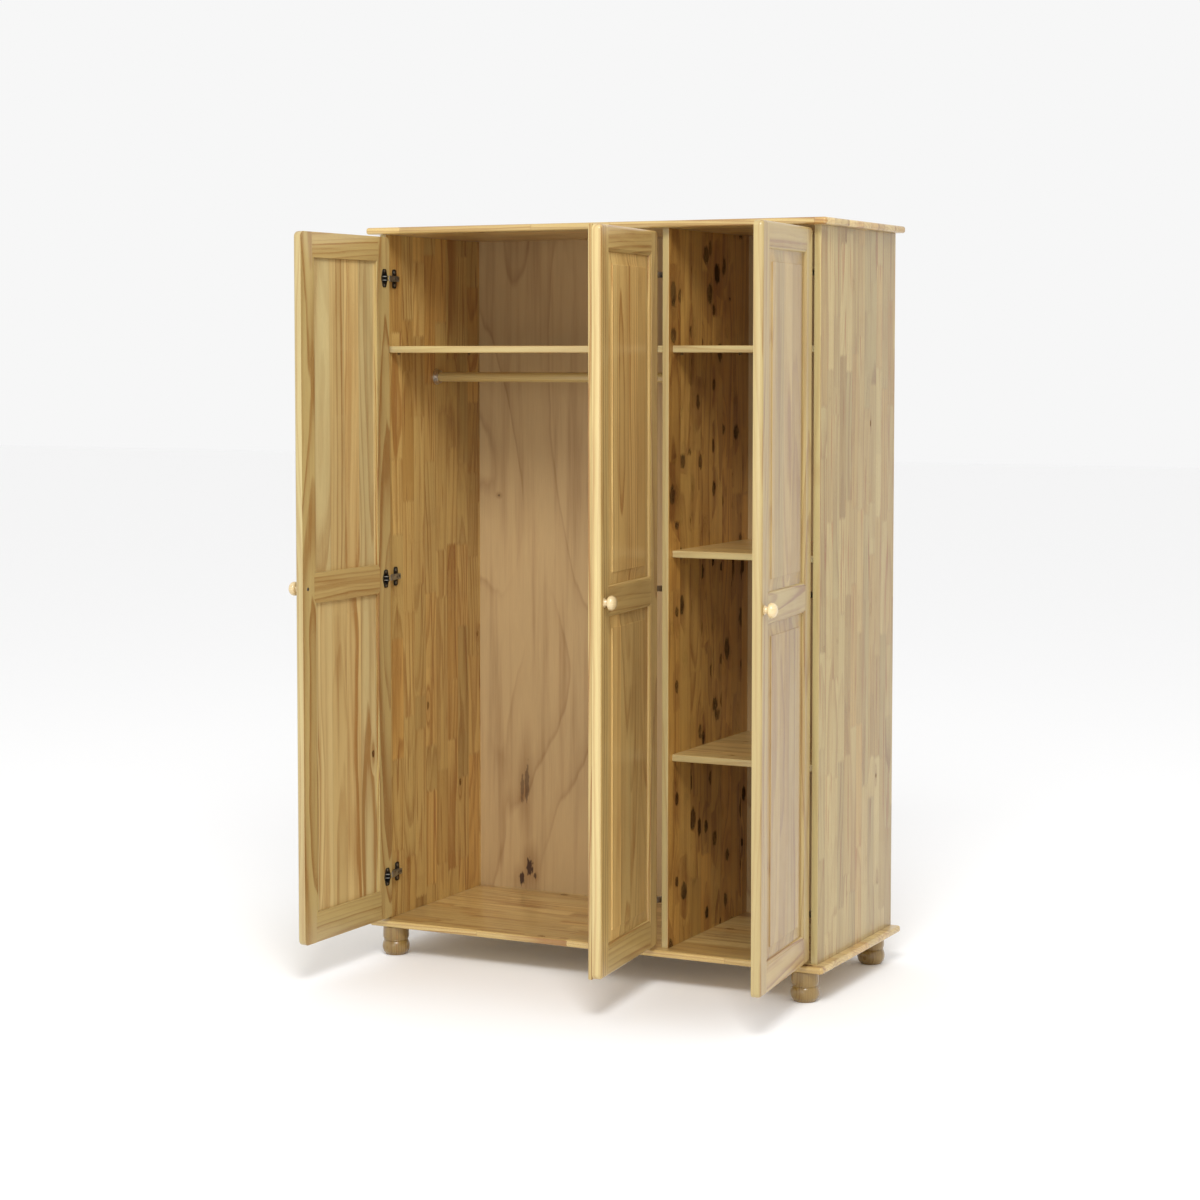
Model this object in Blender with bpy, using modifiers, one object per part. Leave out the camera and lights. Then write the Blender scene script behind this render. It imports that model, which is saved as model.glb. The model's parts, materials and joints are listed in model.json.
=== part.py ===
"""Three-door pine wardrobe: a carcass on turned feet, frame-and-panel doors on cup hinges.

Metres, +Z up, the front faces -Y. While the pieces are made, x = 0 is the middle of the
carcass, y = 0 is the front edge of its sides and z = 0 is the floor. One empty then shifts
everything so that the origin is the middle of the footprint of the whole wardrobe with its
doors open. Each door hangs on an empty that stands on its hinge axis.
"""
import math

import bmesh
import bpy
from mathutils import Matrix, Vector

# Driving dimensions of the carcass
GAP = 0.0003                 # between pieces that touch
BOARD = 0.017                # thickness of every solid board
CASE_WIDTH = 1.180           # over the outer faces of the sides
CASE_DEPTH = 0.492           # of the sides
SIDE_HEIGHT = 1.720          # between the bottom board and the top board
FOOT_HEIGHT = 0.0725
OVERHANG_SIDE = 0.0245       # of the top and bottom boards
OVERHANG_FRONT = 0.030
BOARD_EDGE_RADIUS = 0.006    # rounded edge of the top and bottom boards
ARRIS = 0.002                # eased edge of the other boards
PARTITION_X = 0.196          # middle of the partition
BACK_FRONT_Y = 0.4768        # front face of the back panel
BACK_THICKNESS = 0.006
GROOVE_DEPTH = 0.005

# Shelves: heights of their upper faces over the bottom board, and where their fronts lie
HAT_SHELF_RISE = 1.444
HAT_SHELF_FRONT_Y = 0.0107
BAY_SHELVES = {"shelf_upper": 1.444, "shelf_middle": 0.956, "shelf_lower": 0.466}
BAY_SHELF_FRONT_Y = 0.0228

# Clothes rail
RAIL_RADIUS = 0.0125
RAIL_Y = 0.250
RAIL_RISE = 1.3655           # axis over the bottom board
SOCKET_LENGTH = 0.014
SOCKET_FLANGE = 0.003

# Doors
DOOR_WIDTH = 0.389
DOOR_THICKNESS = 0.0215
DOOR_HEIGHT = 1.705
DOOR_RISE = 0.0085           # over the bottom board
DOOR_BACK_GAP = 0.0025       # between the closed door and the carcass
DOOR_ARRIS = 0.0045
AXIS_INSET = 0.0095          # of the hinge axis, from the door's hinge edge
DOOR_PITCH = 0.392           # from one closed door to the next
OUTER_REVEAL = 0.0035        # from the side's outer face to the closed door
STILE = 0.057
TOP_RAIL = 0.061
LOCK_RAIL = 0.073
BOTTOM_RAIL = 0.072
LOCK_RAIL_BASE = 0.820       # underside of the lock rail over the door's bottom
PANEL_GROOVE_FRONT = 0.0070  # front wall of the groove, behind the door's front face
PANEL_GROOVE_WIDTH = 0.0070
PANEL_GROOVE_DEPTH = 0.0080
FIELD_SLOPE = 0.026          # width of the sloping border of a raised panel
FIELD_RISE = 0.0030
FIELD_STEP = 0.0012
OPEN_ANGLES = {"left": -91.3, "middle": 96.0, "right": 95.8}

# Meeting strip behind the middle door's free edge
STRIP_WIDTH = 0.030
STRIP_THICKNESS = 0.0095

# Cup hinges
HINGE_RISES = {"top": 1.603, "middle": 0.8565, "bottom": 0.105}   # over the door's bottom
CUP_CENTRE = 0.0225          # from the door's hinge edge
CUP_BORE_RADIUS = 0.0136
CUP_BORE_DEPTH = 0.0122
CUP_RADIUS = 0.0130
CUP_DEPTH = 0.0115
CUP_WALL = 0.0012
FLANGE_THICKNESS = 0.0012
FLANGE_HALF_HEIGHT = 0.0225
FLANGE_OUTER = 0.0090        # flange edge beyond the cup centre, towards the door's middle
FLANGE_INNER = 0.0140        # flange edge on the hinge side, clear of the carcass as it swings
HINGE_LINE = 0.037           # of the mounting plate, behind the carcass front
WING_HALF_HEIGHT = 0.024
ARM_HALF_HEIGHT = 0.008
WING_HALF_WIDTH = 0.0095
ARM_END = 0.014              # of the mounting plate, behind the hinge line
ARM_TIP_U = 0.0215           # furthest point of the arm's tip from the hinge axis
ARM_TIP_Y = -0.0085

# Knobs and feet
KNOB_FROM_FREE_EDGE = 0.022
KNOB_LENGTH = 0.030
FOOT_X = 0.557
FOOT_FRONT_Y = 0.006
FOOT_BACK_Y = 0.441

# Middle of the whole footprint with the doors open
ORIGIN_X = 0.0139
ORIGIN_Y = 0.0437

# Derived positions
FLOOR_TOP = FOOT_HEIGHT + BOARD
CEILING = FLOOR_TOP + SIDE_HEIGHT
INNER_HALF = CASE_WIDTH / 2 - BOARD
FRONT_PLANE = -(DOOR_BACK_GAP + DOOR_THICKNESS)
DOOR_BASE = FLOOR_TOP + DOOR_RISE
OUTER_EDGE = CASE_WIDTH / 2 - OUTER_REVEAL
FREE_EDGE = DOOR_WIDTH - AXIS_INSET
LOCK_HEIGHT = LOCK_RAIL_BASE + LOCK_RAIL / 2
# name: (x of the hinge axis, +1 where the door extends to +X from its hinge, u of carcass face)
DOORS = {
    "left": (-OUTER_EDGE + AXIS_INSET, 1, OUTER_EDGE - AXIS_INSET - INNER_HALF),
    "middle": (DOOR_PITCH / 2 - 0.0015 - AXIS_INSET, -1,
               DOOR_PITCH / 2 - 0.0015 - AXIS_INSET - (PARTITION_X - BOARD / 2)),
    "right": (OUTER_EDGE - AXIS_INSET, -1, OUTER_EDGE - AXIS_INSET - INNER_HALF),
}


def clear_scene():
    for thing in list(bpy.data.objects):
        bpy.data.objects.remove(thing, do_unlink=True)


def new_collection(name):
    collection = bpy.data.collections.new(name)
    bpy.context.scene.collection.children.link(collection)
    return collection


def material(name, colour, roughness, metallic=0.0):
    made = bpy.data.materials.new(name)
    made.use_nodes = True
    shader = made.node_tree.nodes["Principled BSDF"]
    shader.inputs["Base Color"].default_value = (*colour, 1.0)
    shader.inputs["Roughness"].default_value = roughness
    shader.inputs["Metallic"].default_value = metallic
    return made


def empty(name, location, parent=None):
    made = bpy.data.objects.new(name, None)
    parts.objects.link(made)
    made.location = location
    made.parent = parent
    return made


def add_part(name, mesh, surface, parent, location=(0, 0, 0), rotation=(0, 0, 0)):
    made = bpy.data.objects.new(name, mesh)
    parts.objects.link(made)
    if not mesh.materials:
        mesh.materials.append(surface)
    made.location = location
    made.rotation_euler = rotation
    made.parent = parent
    return made


def add_cutter(name, mesh, parent, location=(0, 0, 0), rotation=(0, 0, 0)):
    made = bpy.data.objects.new(name, mesh)
    cutters.objects.link(made)
    made.location = location
    made.rotation_euler = rotation
    made.parent = parent
    made.hide_render = True
    made.display_type = "WIRE"
    return made


def combine(target, tool, operation):
    step = target.modifiers.new(operation.lower() + "_" + tool.name, "BOOLEAN")
    step.operation = operation
    step.object = tool


def finish_mesh(name, bm, smooth_angle=None):
    mesh = bpy.data.meshes.new(name)
    bm.to_mesh(mesh)
    bm.free()
    if smooth_angle is not None:
        mesh.shade_smooth()
        mesh.set_sharp_from_angle(angle=math.radians(smooth_angle))
    return mesh


def box_bmesh(low, high):
    low, high = Vector(low), Vector(high)
    size = high - low
    bm = bmesh.new()
    bmesh.ops.create_cube(bm, size=1.0)
    bmesh.ops.scale(bm, vec=size, verts=bm.verts)
    bmesh.ops.translate(bm, vec=(low + high) / 2, verts=bm.verts)
    return bm


def box(name, low, high):
    return finish_mesh(name, box_bmesh(low, high))


def rounded_box(name, low, high, radius, chosen, segments=2):
    """A box with rounded edges: chosen(middle, along) says which, from the edge's middle
    (each coordinate -1, 0 or 1) and the axis that it runs along."""
    bm = box_bmesh(low, high)
    centre = (Vector(low) + Vector(high)) / 2
    half = (Vector(high) - Vector(low)) / 2
    picked = []
    for edge in bm.edges:
        middle = (edge.verts[0].co + edge.verts[1].co) / 2 - centre
        place = tuple(round(middle[axis] / half[axis]) for axis in range(3))
        along = place.index(0)
        if chosen(place, along):
            picked.append(edge)
    bmesh.ops.bevel(bm, geom=picked, offset=radius, segments=segments, profile=0.5,
                    affect="EDGES")
    return finish_mesh(name, bm, smooth_angle=30)


def front_edges(place, along):
    return place[1] == -1


def front_long_edges(place, along):
    return place[1] == -1 and along == 2


def not_back_edges(place, along):
    return place[1] != 1


def turned(name, profile, surface, parent, location, rotation=(0, 0, 0), steps=24):
    """A solid of revolution about local Z from a profile of (radius, height), top to bottom."""
    bm = bmesh.new()
    points = [bm.verts.new((radius, 0, height)) for radius, height in profile]
    for first, second in zip(points, points[1:]):
        bm.edges.new((first, second))
    made = add_part(name, finish_mesh(name, bm), surface, parent, location, rotation)
    screw = made.modifiers.new("turn", "SCREW")
    screw.axis = "Z"
    screw.steps = steps
    screw.render_steps = steps
    screw.use_merge_vertices = True
    screw.merge_threshold = 0.00001
    screw.use_smooth_shade = True
    return made


def arc(centre, radius, start, end, count):
    """Points (radius from the axis, height) along an arc, angles in degrees."""
    points = []
    for index in range(count + 1):
        angle = math.radians(start + (end - start) * index / count)
        points.append((centre[0] + radius[0] * math.cos(angle),
                       centre[1] + radius[1] * math.sin(angle)))
    return points


def cylinder_bmesh(radius, low, high, segments):
    """A closed cylinder along Y between two values of y."""
    bm = bmesh.new()
    bmesh.ops.create_cone(bm, cap_ends=True, segments=segments, radius1=radius, radius2=radius,
                          depth=high - low)
    bmesh.ops.rotate(bm, verts=bm.verts, matrix=Matrix.Rotation(math.radians(90), 3, "X"))
    bmesh.ops.translate(bm, verts=bm.verts, vec=(0, (low + high) / 2, 0))
    return bm


def make_carcass():
    half = CASE_WIDTH / 2
    groove = add_cutter("back_groove", box(
        "back_groove",
        (-INNER_HALF - GROOVE_DEPTH, BACK_FRONT_Y - GAP, FLOOR_TOP - GROOVE_DEPTH),
        (INNER_HALF + GROOVE_DEPTH, BACK_FRONT_Y + BACK_THICKNESS + GAP,
         CEILING + GROOVE_DEPTH)), root)

    for name, base in (("bottom_board", FOOT_HEIGHT), ("top_board", CEILING + GAP)):
        slab = add_part(name, rounded_box(
            name, (-half - OVERHANG_SIDE, -OVERHANG_FRONT, base),
            (half + OVERHANG_SIDE, CASE_DEPTH, base + BOARD - GAP),
            BOARD_EDGE_RADIUS, not_back_edges), pine, root)
        combine(slab, groove, "DIFFERENCE")

    for name, low_x in (("left_side", -half), ("right_side", half - BOARD)):
        side = add_part(name, rounded_box(
            name, (low_x, 0, FLOOR_TOP), (low_x + BOARD, CASE_DEPTH, CEILING),
            ARRIS, front_long_edges), pine, root)
        combine(side, groove, "DIFFERENCE")

    back_inset = GROOVE_DEPTH - GAP
    add_part("back_panel", box(
        "back_panel", (-INNER_HALF - back_inset, BACK_FRONT_Y, FLOOR_TOP - back_inset),
        (INNER_HALF + back_inset, BACK_FRONT_Y + BACK_THICKNESS, CEILING + back_inset)),
        plywood, root)

    inner_back = BACK_FRONT_Y - GAP
    add_part("partition", rounded_box(
        "partition", (PARTITION_X - BOARD / 2, 0, FLOOR_TOP),
        (PARTITION_X + BOARD / 2, inner_back, CEILING),
        ARRIS, front_long_edges), pine, root)

    left_bay = (-INNER_HALF + GAP, PARTITION_X - BOARD / 2 - GAP)
    right_bay = (PARTITION_X + BOARD / 2 + GAP, INNER_HALF - GAP)
    add_shelf("hat_shelf", left_bay, HAT_SHELF_FRONT_Y, HAT_SHELF_RISE)
    for name, rise in BAY_SHELVES.items():
        add_shelf(name, right_bay, BAY_SHELF_FRONT_Y, rise)
    make_clothes_rail(left_bay)


def add_shelf(name, span, front_y, rise):
    top = FLOOR_TOP + rise
    add_part(name, rounded_box(
        name, (span[0], front_y, top - BOARD), (span[1], BACK_FRONT_Y - GAP, top),
        ARRIS, lambda place, along: place[1] == -1 and along == 0), pine, root)


def make_clothes_rail(span):
    height = FLOOR_TOP + RAIL_RISE
    bore = RAIL_RADIUS + GAP
    collar = bore + 0.004
    flange = bore + 0.010
    profile = [(bore, SOCKET_LENGTH), (collar, SOCKET_LENGTH), (collar, SOCKET_FLANGE),
               (flange, SOCKET_FLANGE), (flange, 0), (bore, 0), (bore, SOCKET_LENGTH)]
    turned("rail_socket_left", profile, steel, root, (span[0], RAIL_Y, height),
           (0, math.radians(90), 0))
    turned("rail_socket_right", profile, steel, root, (span[1], RAIL_Y, height),
           (0, math.radians(-90), 0))
    length = span[1] - span[0]
    turned("clothes_rail", [(0, length), (RAIL_RADIUS, length), (RAIL_RADIUS, 0), (0, 0)],
           rail_wood, root, (span[0], RAIL_Y, height), (0, math.radians(90), 0))


def make_feet():
    top = FOOT_HEIGHT - GAP
    profile = [(0, top), (0.0305, top), (0.0318, top - 0.002)]
    profile += arc((0.0375, 0.050), (0.0065, 0.016), 145, 215, 4)
    profile += arc((0.0235, 0.0185), (0.0108, 0.0165), 62, -70, 8)
    profile += [(0.024, 0), (0, 0)]
    for side, x in (("left", -FOOT_X), ("right", FOOT_X)):
        for end, y in (("front", FOOT_FRONT_Y), ("back", FOOT_BACK_Y)):
            turned("foot_" + end + "_" + side, profile, foot_wood, root, (x, y, 0))


def raised_panel(name, low, high, hand):
    """A panel whose tongue runs in the frame's groove and whose field stands forward."""
    front = PANEL_GROOVE_FRONT + GAP
    back = PANEL_GROOVE_FRONT + PANEL_GROOVE_WIDTH - GAP
    bm = box_bmesh((low[0], front, low[1]), (high[0], back, high[1]))
    face = min(bm.faces, key=lambda each: each.calc_center_median().y)
    for width, rise in ((PANEL_GROOVE_DEPTH, 0), (FIELD_SLOPE, FIELD_RISE), (0.0006, FIELD_STEP)):
        bmesh.ops.inset_region(bm, faces=[face], thickness=width, depth=rise,
                               use_even_offset=True)
    if hand < 0:
        mirror_x(bm)
    return finish_mesh(name, bm)


def mirror_x(bm):
    bmesh.ops.scale(bm, vec=(-1, 1, 1), verts=bm.verts)
    bmesh.ops.reverse_faces(bm, faces=bm.faces)


def door_box(name, hand, low, high, radius=DOOR_ARRIS, chosen=front_edges):
    """A rounded box in door coordinates, u from the hinge axis to the free edge along x."""
    if hand < 0:
        low, high = (-high[0], low[1], low[2]), (-low[0], high[1], high[2])
    if radius:
        return rounded_box(name, low, high, radius, chosen)
    return box(name, low, high)


def make_door(side, hinge_mesh):
    axis_x, hand, face_u = DOORS[side]
    name = side + "_door"
    pivot = empty(name + "_pivot", (axis_x, FRONT_PLANE, DOOR_BASE), root)
    pivot.rotation_euler = (0, 0, math.radians(OPEN_ANGLES[side]))

    hinge_edge = -AXIS_INSET
    inner_low = hinge_edge + STILE
    inner_high = FREE_EDGE - STILE
    rails = {"bottom": (0, BOTTOM_RAIL), "lock": (LOCK_RAIL_BASE, LOCK_RAIL_BASE + LOCK_RAIL),
             "top": (DOOR_HEIGHT - TOP_RAIL, DOOR_HEIGHT)}
    groove_back = PANEL_GROOVE_FRONT + PANEL_GROOVE_WIDTH

    # One cutter takes the panel groove out of both stiles
    groove = add_cutter(name + "_groove", door_box(
        name + "_groove", hand,
        (inner_low - PANEL_GROOVE_DEPTH, PANEL_GROOVE_FRONT, -0.010),
        (inner_high + PANEL_GROOVE_DEPTH, groove_back, DOOR_HEIGHT + 0.010), radius=0), pivot)
    stiles = {"hinge": (hinge_edge, inner_low), "free": (inner_high, FREE_EDGE)}
    for place, (low, high) in stiles.items():
        stile = add_part(name + "_" + place + "_stile", door_box(
            name + place, hand, (low, 0, 0), (high, DOOR_THICKNESS, DOOR_HEIGHT),
            chosen=front_long_edges), door_pine, pivot)
        combine(stile, groove, "DIFFERENCE")
        if place == "hinge":
            combine(stile, make_cup_bores(name, hand, pivot), "DIFFERENCE")

    # Each rail has a tongue at both ends, and a groove along the edges that hold a panel
    for place, (low, high) in rails.items():
        rail = add_part(name + "_" + place + "_rail", door_box(
            name + place, hand, (inner_low + GAP, 0, low),
            (inner_high - GAP, DOOR_THICKNESS, high), chosen=lambda spot, along:
            spot[1] == -1 and along == 0), door_pine, pivot)
        edge_low = low + PANEL_GROOVE_DEPTH if place != "bottom" else low + 0.004
        edge_high = high - PANEL_GROOVE_DEPTH if place != "top" else high - 0.004
        tongue = add_cutter(name + "_" + place + "_tongue", door_box(
            name + "_" + place + "_tongue", hand,
            (inner_low - PANEL_GROOVE_DEPTH + GAP, PANEL_GROOVE_FRONT + GAP, edge_low + 0.001),
            (inner_high + PANEL_GROOVE_DEPTH - GAP, groove_back - GAP, edge_high - 0.001),
            radius=0), pivot)
        for edge, holds in (("upper", place != "top"), ("lower", place != "bottom")):
            if holds:
                mouth = (edge_high, high + 0.010) if edge == "upper" else (low - 0.010, edge_low)
                trench = add_cutter(name + "_" + place + "_" + edge + "_trench", door_box(
                    name + "_trench", hand, (inner_low - 0.010, PANEL_GROOVE_FRONT, mouth[0]),
                    (inner_high + 0.010, groove_back, mouth[1]), radius=0), pivot)
                combine(rail, trench, "DIFFERENCE")
        combine(rail, tongue, "UNION")

    inset = PANEL_GROOVE_DEPTH - GAP
    for place, low, high in (("lower", rails["bottom"][1], rails["lock"][0]),
                             ("upper", rails["lock"][1], rails["top"][0])):
        mesh = raised_panel(name + place, (inner_low - inset, low - inset),
                            (inner_high + inset, high + inset), hand)
        add_part(name + "_" + place + "_panel", mesh, door_pine, pivot)

    make_knob(name, hand, pivot)
    if side == "middle":
        add_part(name + "_meeting_strip", door_box(
            name + "strip", hand, (FREE_EDGE - STRIP_WIDTH, DOOR_THICKNESS + GAP, 0),
            (FREE_EDGE, DOOR_THICKNESS + STRIP_THICKNESS, DOOR_HEIGHT), radius=0.001,
            chosen=lambda spot, along: spot[1] == 1 and along == 2), door_pine, pivot)
    make_hinges(side, hand, face_u, axis_x, pivot, hinge_mesh)


def make_cup_bores(name, hand, pivot):
    """The three bores that the hinge cups sit in, as one cutter."""
    bores = bmesh.new()
    for rise in HINGE_RISES.values():
        bore = cylinder_bmesh(CUP_BORE_RADIUS, DOOR_THICKNESS - CUP_BORE_DEPTH,
                              DOOR_THICKNESS + 0.010, 24)
        bmesh.ops.translate(bore, verts=bore.verts,
                            vec=(hand * (CUP_CENTRE - AXIS_INSET), 0, rise))
        piece = finish_mesh(name + "_bore", bore)
        bores.from_mesh(piece)
        bpy.data.meshes.remove(piece)
    return add_cutter(name + "_bores", finish_mesh(name + "_bores", bores), pivot)


def make_knob(name, hand, pivot):
    length = KNOB_LENGTH
    profile = [(0, length)]
    profile += arc((0, length - 0.0125), (0.0170, 0.0125), 70, 0, 4)
    profile += arc((0.0105, length - 0.0145), (0.0065, 0.0060), 0, -80, 3)
    profile += [(0.0080, 0.0080), (0.0078, 0.0040), (0.0100, 0.0010), (0.0100, GAP), (0, GAP)]
    turned(name + "_knob", profile, knob_wood, pivot,
           (hand * (FREE_EDGE - KNOB_FROM_FREE_EDGE), 0, LOCK_HEIGHT),
           (math.radians(90), 0, 0), steps=20)


def hinge_cup_mesh():
    """A drawn cup with its flange: origin on the cup's axis, at the door's back face, +Y out of
    the door and +X away from the hinge edge."""
    top = GAP + FLANGE_THICKNESS
    cup = add_part("cup_form", finish_mesh("cup_form", cylinder_bmesh(
        CUP_RADIUS, -CUP_DEPTH, top - 0.0002, 24)), steel, None)
    plate_outline = [(-FLANGE_INNER, 0.006), (-0.0085, 0.009), (-0.0085, FLANGE_HALF_HEIGHT),
                     (FLANGE_OUTER, FLANGE_HALF_HEIGHT)]
    bm = bmesh.new()
    upper = [Vector((x, GAP, z)) for x, z in plate_outline]
    lower = [Vector((x, GAP, -z)) for x, z in reversed(plate_outline)]
    face = bm.faces.new([bm.verts.new(point) for point in upper + lower])
    grown = bmesh.ops.extrude_face_region(bm, geom=[face])
    moved = [item for item in grown["geom"] if isinstance(item, bmesh.types.BMVert)]
    bmesh.ops.translate(bm, verts=moved, vec=(0, FLANGE_THICKNESS, 0))
    bmesh.ops.recalc_face_normals(bm, faces=bm.faces)
    plate = add_cutter("cup_plate", finish_mesh("cup_plate", bm), None)
    hollow = add_cutter("cup_hollow", finish_mesh("cup_hollow", cylinder_bmesh(
        CUP_RADIUS - CUP_WALL, CUP_WALL - CUP_DEPTH, 0.010, 24)), None)
    combine(cup, plate, "UNION")
    combine(cup, hollow, "DIFFERENCE")
    return bake(cup, "hinge_cup", (plate, hollow))


def bake(form, name, tools):
    """The evaluated mesh of a form, for several objects to share."""
    bpy.context.view_layer.update()
    graph = bpy.context.evaluated_depsgraph_get()
    mesh = bpy.data.meshes.new_from_object(form.evaluated_get(graph))
    mesh.name = name
    for thing in (form, *tools):
        bpy.data.objects.remove(thing, do_unlink=True)
    return mesh


def hinge_arm_mesh(side, face_u):
    """A cross-shaped mounting plate with the arm over it: x is u from the hinge axis, y = 0 is
    the carcass front, z = 0 is the hinge's height."""
    face = face_u + GAP
    plate_top = face + 0.0030
    arm_top = ARM_TIP_U
    arm = add_part("arm_form", box(
        "arm_form", (face, HINGE_LINE - 0.022, -ARM_HALF_HEIGHT),
        (plate_top, HINGE_LINE + ARM_END, ARM_HALF_HEIGHT)), steel, None)
    wing = add_cutter("arm_wing", box(
        "arm_wing", (face, HINGE_LINE - WING_HALF_WIDTH, -WING_HALF_HEIGHT),
        (plate_top, HINGE_LINE + WING_HALF_WIDTH, WING_HALF_HEIGHT)), None)
    # Outline of the arm seen from above: a low saddle that cranks up to the tip
    outline = [(plate_top - 0.0010, HINGE_LINE + 0.012), (face + 0.0095, HINGE_LINE + 0.010),
               (face + 0.0108, HINGE_LINE - 0.012), (arm_top, 0.008), (arm_top, ARM_TIP_Y),
               (arm_top - 0.0030, ARM_TIP_Y), (arm_top - 0.0110, -0.001),
               (plate_top - 0.0010, HINGE_LINE - 0.018)]
    bm = bmesh.new()
    ring = [bm.verts.new((x, y, -ARM_HALF_HEIGHT + 0.001)) for x, y in outline]
    grown = bmesh.ops.extrude_face_region(bm, geom=[bm.faces.new(ring)])
    moved = [item for item in grown["geom"] if isinstance(item, bmesh.types.BMVert)]
    bmesh.ops.translate(bm, verts=moved, vec=(0, 0, 2 * (ARM_HALF_HEIGHT - 0.001)))
    bmesh.ops.recalc_face_normals(bm, faces=bm.faces)
    saddle = add_cutter("arm_saddle", finish_mesh("arm_saddle", bm), None)
    combine(arm, wing, "UNION")
    combine(arm, saddle, "UNION")
    return bake(arm, side + "_hinge_arm", (wing, saddle))


def make_hinges(side, hand, face_u, axis_x, pivot, cup_mesh):
    arm_mesh = hinge_arm_mesh(side, face_u)
    turn = 0 if hand > 0 else math.pi
    for place, rise in HINGE_RISES.items():
        add_part(side + "_hinge_cup_" + place, cup_mesh, steel, pivot,
                 (hand * (CUP_CENTRE - AXIS_INSET), DOOR_THICKNESS, rise), (0, turn, 0))
        add_part(side + "_hinge_arm_" + place, arm_mesh, steel, root,
                 (axis_x, 0, DOOR_BASE + rise), (0, turn, 0))


clear_scene()
parts = new_collection("wardrobe")
cutters = new_collection("wardrobe_cutters")
pine = material("pine", (0.72, 0.52, 0.29), 0.42)
door_pine = material("door_pine", (0.74, 0.54, 0.30), 0.40)
plywood = material("plywood", (0.60, 0.39, 0.19), 0.55)
rail_wood = material("rail_wood", (0.66, 0.47, 0.27), 0.45)
knob_wood = material("knob_wood", (0.80, 0.62, 0.38), 0.30)
foot_wood = material("foot_wood", (0.68, 0.48, 0.26), 0.40)
steel = material("hinge_steel", (0.42, 0.41, 0.40), 0.35, metallic=1.0)

root = empty("wardrobe_origin", (-ORIGIN_X, -ORIGIN_Y, 0))
make_carcass()
make_feet()
cup_mesh_shared = hinge_cup_mesh()
for door_side in DOORS:
    make_door(door_side, cup_mesh_shared)
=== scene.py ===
"""Looks of the three-door pine wardrobe: every board, frame member, panel, turning and hinge is
modelled again inside its CAD solid's box, with solid-wood procedural materials."""
import json
import math
import random
from functools import partialmethod

import bmesh
import bpy
from mathutils import Matrix, Vector


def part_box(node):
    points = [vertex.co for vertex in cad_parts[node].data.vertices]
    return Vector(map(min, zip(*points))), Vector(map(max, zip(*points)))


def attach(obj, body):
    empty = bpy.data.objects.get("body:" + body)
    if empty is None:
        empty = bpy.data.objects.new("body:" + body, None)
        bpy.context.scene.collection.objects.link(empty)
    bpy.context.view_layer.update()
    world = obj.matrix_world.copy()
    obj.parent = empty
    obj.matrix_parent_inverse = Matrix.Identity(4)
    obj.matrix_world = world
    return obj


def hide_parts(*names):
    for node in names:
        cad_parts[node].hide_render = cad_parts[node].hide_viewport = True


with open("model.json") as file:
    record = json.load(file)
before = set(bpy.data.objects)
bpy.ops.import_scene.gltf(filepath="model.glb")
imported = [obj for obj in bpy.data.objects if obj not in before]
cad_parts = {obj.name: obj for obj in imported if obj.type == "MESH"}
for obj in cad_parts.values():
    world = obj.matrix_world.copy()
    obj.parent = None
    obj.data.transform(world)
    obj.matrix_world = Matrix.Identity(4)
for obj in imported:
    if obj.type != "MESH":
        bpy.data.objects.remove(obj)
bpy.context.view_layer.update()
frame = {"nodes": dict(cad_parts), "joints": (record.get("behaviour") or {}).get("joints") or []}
CARCASS_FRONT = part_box("left_side")[0][1]

# ---- sizes, in metres
BOARD_ARRIS = 0.0016
SLAB_EDGE = 0.006  # rounded edges of the top and bottom boards
SLAB_CORNER = 0.008
SHELF_EDGE = 0.003
DOOR_EDGE = 0.007  # rounded outer edges of a door
DOOR_CORNER = 0.013
STICKING = 0.008  # width of the moulding round a panel opening
STICKING_DEPTH = 0.007
TONGUE_FRONT = 0.0073  # front and back of a panel's tongue, behind the door's front
TONGUE_BACK = 0.0137
SLOPE = 0.027  # sloping border of a raised panel
FIELD_FRONT = 0.0031  # a panel's field, behind the door's front
JOINT_LINE = 0.00015  # gap that shows as a line between door members
KNOT_FREE_EDGE = 0.013  # knots keep this far from a board's long edges
TOOTH = 0.0042  # width of one tooth of a finger joint
RAGGED = 0.6  # how torn the rims of knots are
CUP_FROM_EDGE = 0.0225  # from a door's hinge edge to the axes of its cups
CUP_RADIUS = 0.013
BORE_RADIUS = 0.0134
CUP_DEPTH = 0.0115
HINGE_LINE = 0.037  # from the carcass front to the mounting plates' middle
PLACES = ("top", "middle", "bottom")
SHELVES = ("hat_shelf", "shelf_upper", "shelf_middle", "shelf_lower")
WHITE = (1.0, 1.0, 1.0)


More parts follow.
